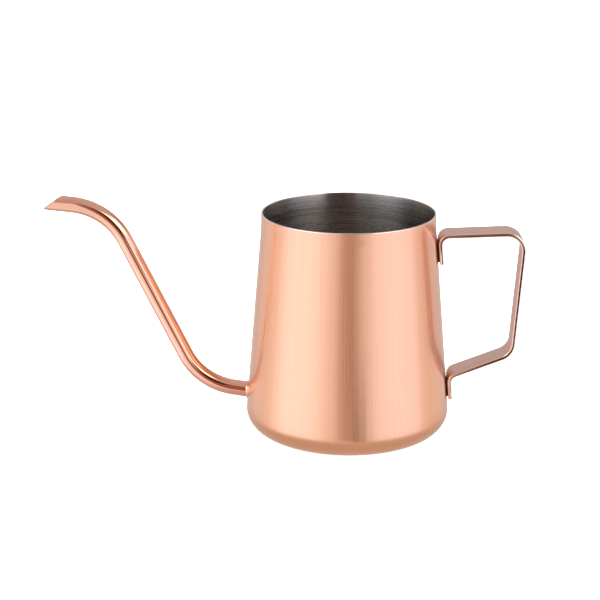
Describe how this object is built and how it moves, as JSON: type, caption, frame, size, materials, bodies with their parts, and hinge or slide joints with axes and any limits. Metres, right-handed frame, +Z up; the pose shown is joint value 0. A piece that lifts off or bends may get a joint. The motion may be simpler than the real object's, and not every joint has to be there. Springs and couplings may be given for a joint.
{
  "type": "gooseneck drip pot",
  "caption": "Open-top hand-drip coffee pot: tapered drawn cup, welded thin gooseneck spout and bent strip handle, copper-plated outside.",
  "frame": {"origin": "centre of the flat base, where the cup's axis meets the surface it stands on", "axes": "+Z up along the cup's axis, -X towards the spout, +X towards the handle"},
  "size_m": [0.2015, 0.0864, 0.1001],
  "materials": {
    "cup_copper": "stainless steel, copper-plated outside with a fine vertical brushed grain, bare inside",
    "cup_inside": "bare stainless steel with a grain that runs round the cup",
    "tube_copper": "stainless steel tube, copper-plated and polished",
    "bead_copper": "weld fillet, ground smooth and copper-plated",
    "strap_copper": "stainless steel strip, copper-plated, satin flats and polished edges",
    "weld_steel": "weld metal under copper plating"
  },
  "bodies": {
    "root": {"pot_body": "cup_copper", "spout_tube": "tube_copper", "spout_weld_bead": "bead_copper", "handle_strap": "strap_copper", "upper_handle_weld": "weld_steel", "lower_handle_weld": "weld_steel"}
  },
  "joints": []
}
